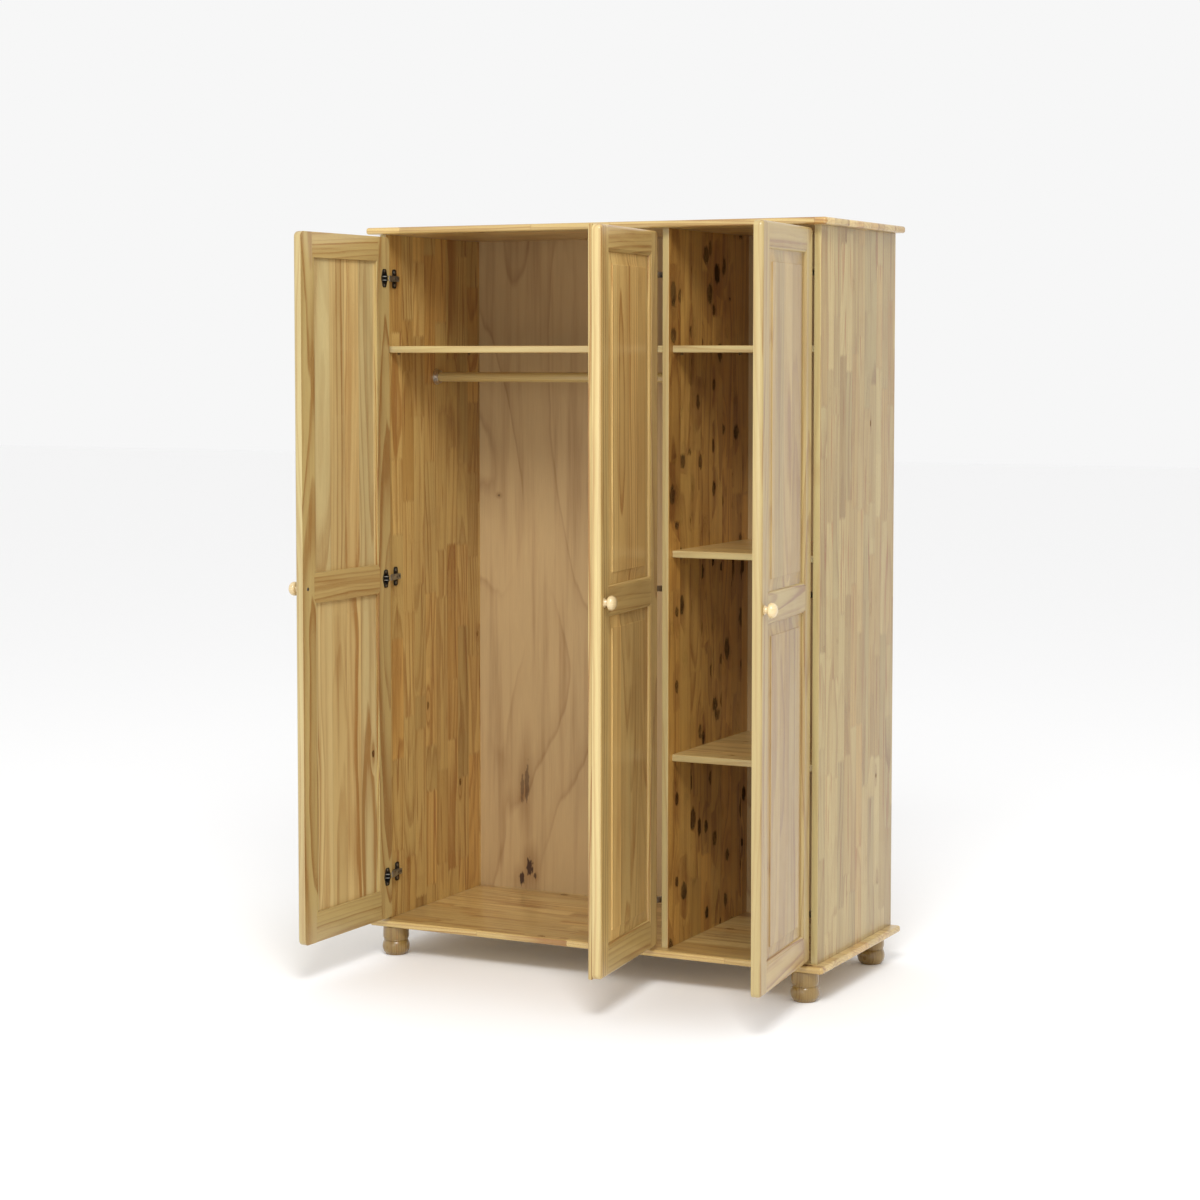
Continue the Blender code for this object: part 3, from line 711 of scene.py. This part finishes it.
def make_rail():
    low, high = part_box("clothes_rail")
    radius = (high[2] - low[2]) / 2
    length = high[0] - low[0]
    y, z = (low[1] + high[1]) / 2, (low[2] + high[2]) / 2
    ease = 0.0012
    profile = [(0, length)] + arc((radius - ease, length - ease), (ease, ease), 90, 0, 3)
    profile += arc((radius - ease, ease), (ease, ease), 0, -90, 3) + [(0, 0)]
    dowel = moved(lathe(profile), pose(low[0], y, z, 90, "Y"))
    build = Build([WOODS["dowel"]]).add(dowel, Grain((0, 1, 2), 61, (0.012, -0.01)))
    build.stand_for("clothes_rail", "_dowel")

    # Sockets: a flange on the board and a collar round the rail
    bore, flange, thick, deep = 0.0128, 0.0205, 0.0022, 0.011
    foot, fillet, collar, brim, bevel = 0.0178, 0.0016, 0.0158, 0.0014, 0.0008
    for side, facing in (("left", 1), ("right", -1)):
        node = "rail_socket_" + side
        low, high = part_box(node)
        wall = low[0] if facing > 0 else high[0]
        ring = [(bore, 0.0), (flange, 0.0), (flange, thick - bevel), (flange - bevel, thick),
                (foot, thick)]
        ring += arc((foot, thick + fillet), (fillet, fillet), -90, -170, 4)
        ring += arc((collar, deep - brim), (brim, brim), 0, 90, 4) + [(bore, deep)]
        place = pose(wall, y, z, 90 * facing, "Y")
        build = Build([BRIGHT, ZINC]).add(moved(lathe(ring), place))
        for angle in (90, 270):
            spot = Matrix.Rotation(math.radians(angle), 4, "Z") @ pose(0.0183, 0, thick)
            build.screw(0.0018, place @ spot)
        build.stand_for(node, "_ring")


def make_feet():
    """Turned feet: a drum, a groove under it and a ball."""
    ease = 0.0016
    drum = ((0.945, 0.06), (0.955, 0.05), (0.945, 0.043))
    groove = ((0.9, 0.0402), (0.89, 0.0388), (0.905, 0.0376))
    for node in ("foot_front_left", "foot_front_right", "foot_back_left", "foot_back_right"):
        low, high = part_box(node)
        top = high[2]
        wide = (high[0] - low[0]) / 2
        profile = [(0, top), (0.93 * wide - ease, top)]
        profile += arc((0.93 * wide - ease, top - ease), (ease, ease), 90, 0, 4)
        profile += [(part * wide, height) for part, height in drum + groove]
        profile += arc((0.72 * wide, 0.0205), (0.28 * wide, 0.0176), 62, -72, 16)
        profile += [(0.78 * wide, 0.0014), (0.74 * wide, 0.0), (0, 0)]
        bm = moved(lathe(profile, 72), pose((low[0] + high[0]) / 2, (low[1] + high[1]) / 2, 0))
        build = Build([WOODS["turned"]]).add(bm, Grain((2, 0, 1), node, (0.012, -0.016)))
        build.stand_for(node, "_turning")


def make_shelf_pins():
    """Four steel pins under each shelf: a peg in the board's face and a lip under the shelf."""
    left_face, right_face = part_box("left_side")[1][0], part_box("right_side")[0][0]
    part_low, part_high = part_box("partition")
    peg = [(0, 0.0065), (0.0016, 0.0065), (0.0022, 0.0058), (0.0022, 0), (0, 0)]
    reach, half = 0.008, 0.004
    for node in SHELVES:
        walls = (left_face, part_low[0]) if node == "hat_shelf" else (part_high[0], right_face)
        low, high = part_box(node)
        build = Build([PIN])
        for wall, facing in zip(walls, (1, -1)):
            tip = wall + facing * reach
            for depth in (low[1] + 0.045, high[1] - 0.06):
                turn = pose(wall, depth, low[2] - 0.0037, 90 * facing, "Y")
                build.add(moved(lathe(peg, 16), turn))
                lip = block((min(wall, tip), depth - half, low[2] - 0.0014),
                            (max(wall, tip), depth + half, low[2] - 0.0002))
                build.add(soften(lip, lip.edges, 0.0004, 2))
        put(build.mesh(node + "_pins"), node + "_pins", "carcass")


# ---- screws and hinges
def screw_head(radius):
    """A countersunk pan head with a cross recess, its underside at z = 0."""
    rise = 0.34 * radius
    profile = [(0, rise)] + arc((0.0, 0.0), (radius, rise), 70, 0, 5)
    profile += [(0.9 * radius, -0.3 * radius), (0, -0.3 * radius)]
    head = lathe(profile, 24)
    reach, thin, deep = 0.62 * radius, 0.13 * radius, 0.55 * rise
    arms = [block((-reach, -thin, deep), (reach, thin, 2 * rise)),
            block((-thin, -reach, deep), (thin, reach, 2 * rise))]
    return carve(head, arms)


def hull_plate(circles, low, high):
    """A plate whose outline is wrapped round circles given as (x, z, radius), between two y."""
    bm = bmesh.new()
    for x, z, radius in circles:
        for side, up in circle(radius, 20):
            for y in (low, high):
                bm.verts.new((x + side, y, z + up))
    wrapped = bmesh.ops.convex_hull(bm, input=bm.verts)
    inside = [item for item in wrapped["geom_interior"] if isinstance(item, bmesh.types.BMVert)]
    bmesh.ops.delete(bm, geom=inside, context="VERTS")
    bmesh.ops.dissolve_limit(bm, angle_limit=math.radians(1), verts=bm.verts, edges=bm.edges)
    return outward(bm)


def along_y(bm):
    return moved(bm, pose(0, 0, 0, -90, "X"))


def cup_mesh():
    """The part of a hinge that sits in the door: x away from the hinge edge, y out of the
    door's back, the cup's axis through the origin."""
    base, round_in, round_out = CUP_DEPTH, 0.002, 0.0022
    inner, brim = CUP_RADIUS - 0.0009, CUP_RADIUS + 0.0012
    cup = [(0, 0.001 - base)]
    cup += arc((inner - round_in, 0.003 - base), (round_in, round_in), -90, 0, 4)
    cup += [(inner, 0.0014), (brim, 0.0014), (brim, 0.0005), (CUP_RADIUS, 0.0002)]
    cup += arc((CUP_RADIUS - round_out, round_out - base), (round_out, round_out), 0, -90, 4)
    cup += [(0, -base)]
    build = Build([NICKEL_PAINTED_DARK, ZINC, LINK]).add(along_y(lathe(cup, 56)))
    corners = [(x, z, 0.0045) for x in (-0.0038, 0.0042) for z in (-0.018, 0.018)]
    plate = hull_plate([(-0.0002, 0, 0.0136), *corners], 0.0003, 0.0013)
    build.add(carve(plate, [along_y(rod(inner, -0.01, 0.01))]))
    for z in (0.0178, -0.0178):
        build.screw(0.0033, pose(0, 0.0011, z, -90, "X"))
    # Two links and their pin, folded down into the cup and out over its rim
    thin = 0.0011
    for z in (-0.0046, 0.0046):
        link = prism([(-0.019, 0.0004), (-0.019, 0.0012), (-0.008, 0.0014),
                      (-0.0045, -0.004), (0.0005, -0.006), (0.002, -0.0078),
                      (-0.0015, -0.0084), (-0.007, -0.005), (-0.01, 0.0002)],
                     z - thin, z + thin)
        build.add(soften(link, link.edges, 0.0003, 1), slot=2)
    pin = rod(0.0014, -0.0085, 0.0085, 16)
    build.add(moved(pin, pose(-0.0002, -0.0068, 0)), slot=1)
    return build.mesh("hinge_cup_form", 30)


def arm_mesh(name, face, tip_u, tip_y):
    """Mounting plate and arm: x is the distance from the hinge axis, y = 0 the carcass front."""
    build = Build([NICKEL_PAINTED_DARK, ZINC, LINK])
    # In the plate's own axes x runs to the carcass's back and y stands off the board
    to_board = Matrix.Translation((face, HINGE_LINE, 0)) @ Matrix(
        ((0, 1, 0, 0), (1, 0, 0, 0), (0, 0, 1, 0), (0, 0, 0, 1)))
    wings = hull_plate([(x, z, 0.006) for x in (-0.003, 0.003) for z in (-0.0178, 0.0178)],
                       0.0, 0.0024)
    spine = hull_plate([(-0.015, 0, 0.007), (0.0065, 0, 0.007)], 0.0, 0.0028)
    for part in (wings, spine):
        rim = [edge for edge in part.edges if len(edge.link_faces) == 2
               and edge.calc_face_angle(0) > 0.9]
        build.add(moved(soften(part, rim, 0.0005, 2), to_board))
    for z in (0.016, -0.016):
        build.screw(0.004, to_board @ pose(0, 0.0023, z, -90, "X"))
    # The arm: a channel over the spine, cranked up to its tip in front of the carcass
    top, floor = face + 0.0107, face + 0.0026
    outer = [(floor, HINGE_LINE + 0.0118), (top - 0.002, HINGE_LINE + 0.0122),
             (top, HINGE_LINE + 0.0095), (top, HINGE_LINE - 0.0125),
             (tip_u, 0.0082), (tip_u, tip_y - 0.0035), (tip_u - 0.001, tip_y - 0.0035),
             (tip_u - 0.0012, tip_y), (tip_u - 0.0028, tip_y), (tip_u - 0.0098, -0.001),
             (floor, HINGE_LINE - 0.019)]
    body = prism(outer, -0.0068, 0.0068)
    rims = [edge for edge in body.edges if edge.calc_face_angle(0) > 0.6]
    soften(body, rims, 0.0008, 2)
    under, roof = face - 0.001, top - 0.0014
    inner = prism([(under, HINGE_LINE - 0.0175), (roof, HINGE_LINE - 0.0115),
                   (roof, HINGE_LINE + 0.0085), (under, HINGE_LINE + 0.0095)], -0.0056, 0.0056)
    slot_low, slot_high = (top - 0.004, top + 0.002), (HINGE_LINE + 0.001, HINGE_LINE + 0.0085)
    slot = prism([(slot_low[0], slot_high[0]), (slot_low[1], slot_high[0]),
                  (slot_low[1], slot_high[1]), (slot_low[0], slot_high[1])], -0.002, 0.002)
    build.add(carve(body, [inner, slot]), slot=2)
    for depth, radius in ((HINGE_LINE - 0.008, 0.0032), (HINGE_LINE + 0.0035, 0.0036)):
        build.screw(radius, pose(top - 0.0002, depth, 0, 90, "Y"))
    pin = rod(0.0012, -0.0076, 0.0076, 14)
    build.add(moved(pin, pose(tip_u - 0.0026, tip_y + 0.004, 0)), slot=1)
    return build.mesh(name, 30)


# ---- doors
class Door:
    """One door's frame: where its hinge axis is, which way it extends and how far it is open."""

    def __init__(self, side):
        self.side = side
        self.body = side + "_door"
        joint = next(each for each in frame["joints"] if each["child"] == self.body)
        shut = max(joint["range_deg"], key=abs)
        self.hand = 1 if shut > 0 else -1
        low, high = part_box(self.body + "_hinge_stile")
        self.height = high[2] - low[2]
        self.axis = Vector((joint["pos_m"][0], joint["pos_m"][1], low[2]))
        self.matrix = pose(*self.axis, -shut)
        self.edges = {}
        for piece in ("hinge_stile", "free_stile", "top_rail", "lock_rail", "bottom_rail"):
            self.edges[piece] = self.local_box(self.body + "_" + piece)
        hinge_stile, free_stile = self.edges["hinge_stile"], self.edges["free_stile"]
        self.width_low, self.inner_low = hinge_stile[0][0], hinge_stile[1][0]
        self.inner_high, self.width_high = free_stile[0][0], free_stile[1][0]
        self.thick = free_stile[1][1]

    def local_box(self, node):
        """A node's box in door coordinates: u from the axis, v from the front face, z."""
        back = self.matrix.inverted()
        lows, highs = extent([back @ vert.co for vert in frame["nodes"][node].data.vertices])
        if self.hand < 0:
            lows[0], highs[0] = -highs[0], -lows[0]
        return lows, highs

    def place(self, bm):
        """Mirrors a body made in door coordinates for a door that extends to -X."""
        if self.hand < 0:
            moved(bm, Matrix.Scale(-1, 4, (1, 0, 0)))
        return bm


def sticking(length_axis, low, high, edge, inward, thick):
    """A mitred length of moulding on the edge of an opening. inward is the direction from the
    member into the opening; the profile runs from the member's face to the opening."""
    wide, rise, ease = STICKING, STICKING_DEPTH, 0.0008
    profile = [(wide, 0.0), (wide - 0.0002, 0.0009)]
    profile += arc((wide - 0.001, rise), (-0.006, -0.006), 90, 0, 7)
    profile += [(0.0, rise), (0.0, thick - ease), (ease, thick), (wide, thick)]
    cross = 0 if length_axis == 2 else 2
    bm = bmesh.new()
    ends = []
    for end, side in ((low, -1), (high, 1)):
        ring = []
        for depth, v in profile:
            co = [0.0, v, 0.0]
            co[cross] = edge - inward * depth
            co[length_axis] = end + side * (depth - 0.00008)
            ring.append(bm.verts.new(co))
        ends.append(ring)
    count = len(profile)
    for index in range(count):
        after = (index + 1) % count
        bm.faces.new((ends[0][index], ends[0][after], ends[1][after], ends[1][index]))
    bm.faces.new(ends[0])
    bm.faces.new(ends[1])
    return outward(bm)


def outer_plank(low, high, corner_edges, rim_sides):
    """A member's plain part: outer corners rounded in elevation, then its outer front rim."""
    bm = block(low, high)
    corners = [edge for edge in bm.edges if runs_along(edge, 1)
               and any(on_side(edge, 0, u) and on_side(edge, 2, z) for u, z in corner_edges)]
    if corners:
        soften(bm, corners, DOOR_CORNER, 6)
    sides = [(0, low[0]), (0, high[0]), (2, low[2]), (2, high[2])]
    rims = []
    for edge in bm.edges:
        plain = [side for side in sides if on_side(edge, *side)]
        if on_side(edge, 1, low[1]) and (not plain or any(side in rim_sides for side in plain)):
            rims.append(edge)
    soften(bm, rims, DOOR_EDGE, 5)
    backs = [edge for edge in bm.edges if on_side(edge, 1, high[1])
             and any(on_side(edge, *side) for side in rim_sides)]
    soften(bm, backs, 0.0012, 2)
    return bm


def rail_pith(seed):
    """Rails are cut beside the tree's middle: bold lines along them, a little arched."""
    draw = random.Random(seed)
    side = draw.choice((-1, 1))
    return (side * draw.uniform(0.036, 0.056), draw.uniform(-0.036, -0.014))


def make_door(side, cup):
    door = Door(side)
    name = door.body
    thick = door.thick
    openings = {"lower": (door.edges["bottom_rail"][1][2], door.edges["lock_rail"][0][2]),
                "upper": (door.edges["lock_rail"][1][2], door.edges["top_rail"][0][2])}
    seed = {"left": 100, "middle": 200, "right": 300}[side]
    # painted light and shade for this door's frame and its panels
    frame_painted_light, panel_painted_light = PAINTED_LIGHT_ON_DOORS[side]
    hinge_heights = []
    for place in PLACES:
        low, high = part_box(side + "_hinge_cup_" + place)
        hinge_heights.append((low[2] + high[2]) / 2 - door.axis.z)

    # Stiles: the plank outside the moulding, then a length of moulding beside each opening
    for part, outer, edge, inward in (("hinge_stile", door.width_low, door.inner_low, 1),
                                      ("free_stile", door.width_high, door.inner_high, -1)):
        low_u, high_u = sorted((outer, edge - inward * STICKING))
        plank = outer_plank((low_u, 0, 0), (high_u, thick, door.height),
                            [(outer, 0), (outer, door.height)],
                            [(0, outer), (2, 0), (2, door.height)])
        if part == "hinge_stile":
            centre = door.width_low + CUP_FROM_EDGE
            plank = carve(plank, [moved(along_y(rod(BORE_RADIUS, -CUP_DEPTH - 0.0005, 0.02)),
                                        pose(centre, thick, height))
                                  for height in hinge_heights])
        to_log = Grain((2, 0, 1), seed + len(part) + inward, painted_light=frame_painted_light)
        plank.normal_update()
        build = Build([WOODS["frame"], WOODS["edge"]])
        build.add(door.place(plank), to_log, lambda face: int(abs(face.normal.x) > 0.6))
        for low_z, high_z in openings.values():
            build.add(door.place(sticking(2, low_z, high_z, edge, inward, thick)), to_log)
        build.stand_for(name + "_" + part, "_wood", 28, door)

    # Rails: the plank between the stiles' planks, then moulding along each opening
    left, right = door.inner_low - STICKING + JOINT_LINE, door.inner_high + STICKING - JOINT_LINE
    rails = {"bottom_rail": [("lower", 0)], "top_rail": [("upper", 1)],
             "lock_rail": [("lower", 1), ("upper", 0)]}
    for number, (part, edges) in enumerate(rails.items()):
        low_z, high_z = door.edges[part][0][2], door.edges[part][1][2]
        rims = {"bottom_rail": [(2, low_z)], "top_rail": [(2, high_z)]}.get(part, [])
        plank_low = low_z if part == "bottom_rail" else low_z + STICKING
        plank_high = high_z if part == "top_rail" else high_z - STICKING
        plank = outer_plank((left, 0, plank_low), (right, thick, plank_high), [], rims)
        to_log = Grain((0, 2, 1), seed + 20 + number, rail_pith(seed + number), frame_painted_light)
        build = Build([WOODS["frame"]]).add(door.place(plank), to_log)
        for opening, end in edges:
            # end 0 is the opening's lower edge, so its moulding belongs to the rail below
            edge = openings[opening][end]
            inward = 1 if end == 0 else -1
            length = sticking(0, door.inner_low, door.inner_high, edge, inward, thick)
            build.add(door.place(length), to_log)
        build.stand_for(name + "_" + part, "_wood", 28, door)

    for number, (part, (low_z, high_z)) in enumerate(openings.items()):
        make_panel(door, part, low_z, high_z, seed + 40 + number, panel_painted_light)
    make_knob(door, seed + 60)
    make_hinges(door, hinge_heights, cup)
    strip = name + "_meeting_strip"
    if strip in frame["nodes"]:
        low, high = door.local_box(strip)
        bm = block(low, high)
        rims = [edge for edge in bm.edges if on_side(edge, 1, high[1])]
        soften(bm, rims, 0.0022, 4)
        build = Build([WOODS["frame"]]).add(door.place(bm), Grain((2, 0, 1), seed + 77))
        build.stand_for(strip, "_wood", 28, door)


def make_panel(door, part, low_z, high_z, seed, painted_light):
    """A raised and fielded panel: tongue, hollow slope, small step, flat field."""
    tuck = 0.007
    low_u, high_u = door.inner_low - tuck, door.inner_high + tuck
    bm = block((low_u, TONGUE_FRONT, low_z - tuck), (high_u, TONGUE_BACK, high_z + tuck))
    face = min(bm.faces, key=lambda each: each.calc_center_median().y)
    steps = [(tuck - 0.0004, 0.0)]
    field_step = 0.0014
    climb = TONGUE_FRONT - FIELD_FRONT - field_step
    slices = 5
    for index in range(slices):
        here, after = (index / slices) ** 1.6, ((index + 1) / slices) ** 1.6
        steps.append((SLOPE / slices, climb * (after - here)))
    steps += [(0.0003, field_step * 0.75), (0.0005, field_step * 0.25)]
    for width, rise in steps:
        bmesh.ops.inset_region(bm, faces=[face], thickness=width, depth=rise,
                               use_even_offset=True)
    piece = door.body + "_" + part + "_panel"
    build = Build([WOODS["panel"]]).add(door.place(bm), Grain((2, 0, 1), seed, painted_light=painted_light))
    build.stand_for(piece, "_wood", 18, door)


def make_knob(door, seed):
    piece = door.body + "_knob"
    low, high = door.local_box(piece)
    length = -low[1]
    radius = (high[2] - low[2]) / 2
    centre_x, centre_z = door.hand * (low[0] + high[0]) / 2, (low[2] + high[2]) / 2
    profile = [(0, length)]
    profile += arc((0, length - 0.0125), (radius, 0.0125), 82, 0, 14)
    profile += arc((0.0108, length - 0.014), (radius - 0.0108, 0.0064), -4, -84, 8)
    profile += arc((0.0135, 0.0078), (0.0062, 0.0036), 155, 205, 5)
    profile += [(0.0079, 0.0036), (0.0084, 0.0026), (0.0102, 0.0022)]
    profile += arc((0.0102, 0.0012), (0.001, 0.001), 80, -60, 5)
    profile += [(0.0104, 0.0003), (0, 0.0003)]
    knob = moved(lathe(profile, 64), pose(centre_x, 0, centre_z, 90, "X"))
    build = Build([WOODS["knob"]]).add(knob, Grain((1, 0, 2), seed, (0.012, -0.004)))
    build.stand_for(piece, "_turning", 40, door)
    build = Build([ZINC])
    build.screw(0.0044, pose(centre_x, door.thick, centre_z, -90, "X"), slot=0)
    put(build.mesh(piece + "_screw", 30), piece + "_screw", door.body, matrix=door.matrix)


def make_hinges(door, heights, cup):
    """Cups on the door and arms on its board, cranked from the board's face to the cup."""
    low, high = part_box(door.side + "_hinge_arm_middle")
    face, tip = sorted(door.hand * (x - door.axis.x) for x in (low[0], high[0]))
    arm = arm_mesh(door.side + "_arm_form", face, tip, low[1] - CARCASS_FRONT)
    turn = Matrix.Identity(4) if door.hand > 0 else Matrix.Rotation(math.pi, 4, "Y")
    centre_x = door.hand * (door.width_low + CUP_FROM_EDGE)
    for place, height in zip(PLACES, heights):
        on_door = door.matrix @ pose(centre_x, door.thick, height) @ turn
        on_carcass = pose(door.axis.x, CARCASS_FRONT, door.axis.z + height) @ turn
        for form, kind, body, spot in ((cup, "cup", door.body, on_door),
                                       (arm, "arm", "carcass", on_carcass)):
            node = door.side + "_hinge_" + kind + "_" + place
            put(form, node + "_steel", body, node, spot, shared=True)


# ---- stage, light, camera
def make_stage():
    bpy.ops.mesh.primitive_plane_add(size=60, location=(0, 0, -0.0005))
    floor = bpy.context.object
    floor.name = "studio_floor"
    g = Graph("studio_floor")
    g.set("Base Color", (0.98, 0.98, 0.98, 1.0))
    g.set("Roughness", 0.85)
    g.set("Specular IOR Level", 0.1)
    floor.data.materials.append(g.material)

    world = bpy.data.worlds.new("studio")
    world.use_nodes = True
    sky = world.node_tree.nodes["Background"]
    sky.inputs["Color"].default_value = (1.0, 1.0, 1.0, 1.0)
    sky.inputs["Strength"].default_value = 0.93
    bpy.context.scene.world = world


def area_light(name, place, target, size, power):
    data = bpy.data.lights.new(name, "AREA")
    data.shape = "RECTANGLE"
    data.size, data.size_y = size
    data.energy = power
    lamp = new_object(name, data)
    lamp.location = place
    aim = Vector(target) - Vector(place)
    lamp.rotation_euler = aim.to_track_quat("-Z", "Y").to_euler()


def make_camera():
    data = bpy.data.cameras.new("camera")
    data.sensor_width = 36.0
    data.lens = 79.88
    data.shift_y = -0.06
    camera = new_object("camera", data)
    camera.location = (2.8604, -5.7686, 1.5087)
    camera.rotation_euler = (math.radians(90 - 3.696), 0, math.radians(26.479))
    bpy.context.scene.camera = camera


make_slabs()
make_boards()
make_rail()
make_feet()
make_shelf_pins()
cup_form = cup_mesh()
for door_side in ("left", "middle", "right"):
    make_door(door_side, cup_form)

make_stage()
area_light("key", (1.7, -3.6, 4.4), (0, -0.2, 0.9), (1.7, 1.7), 150)
area_light("front", (0.6, -5.2, 1.5), (0, 0, 0.9), (2.0, 1.6), 22)
make_camera()
bpy.context.scene.view_settings.view_transform = "Standard"
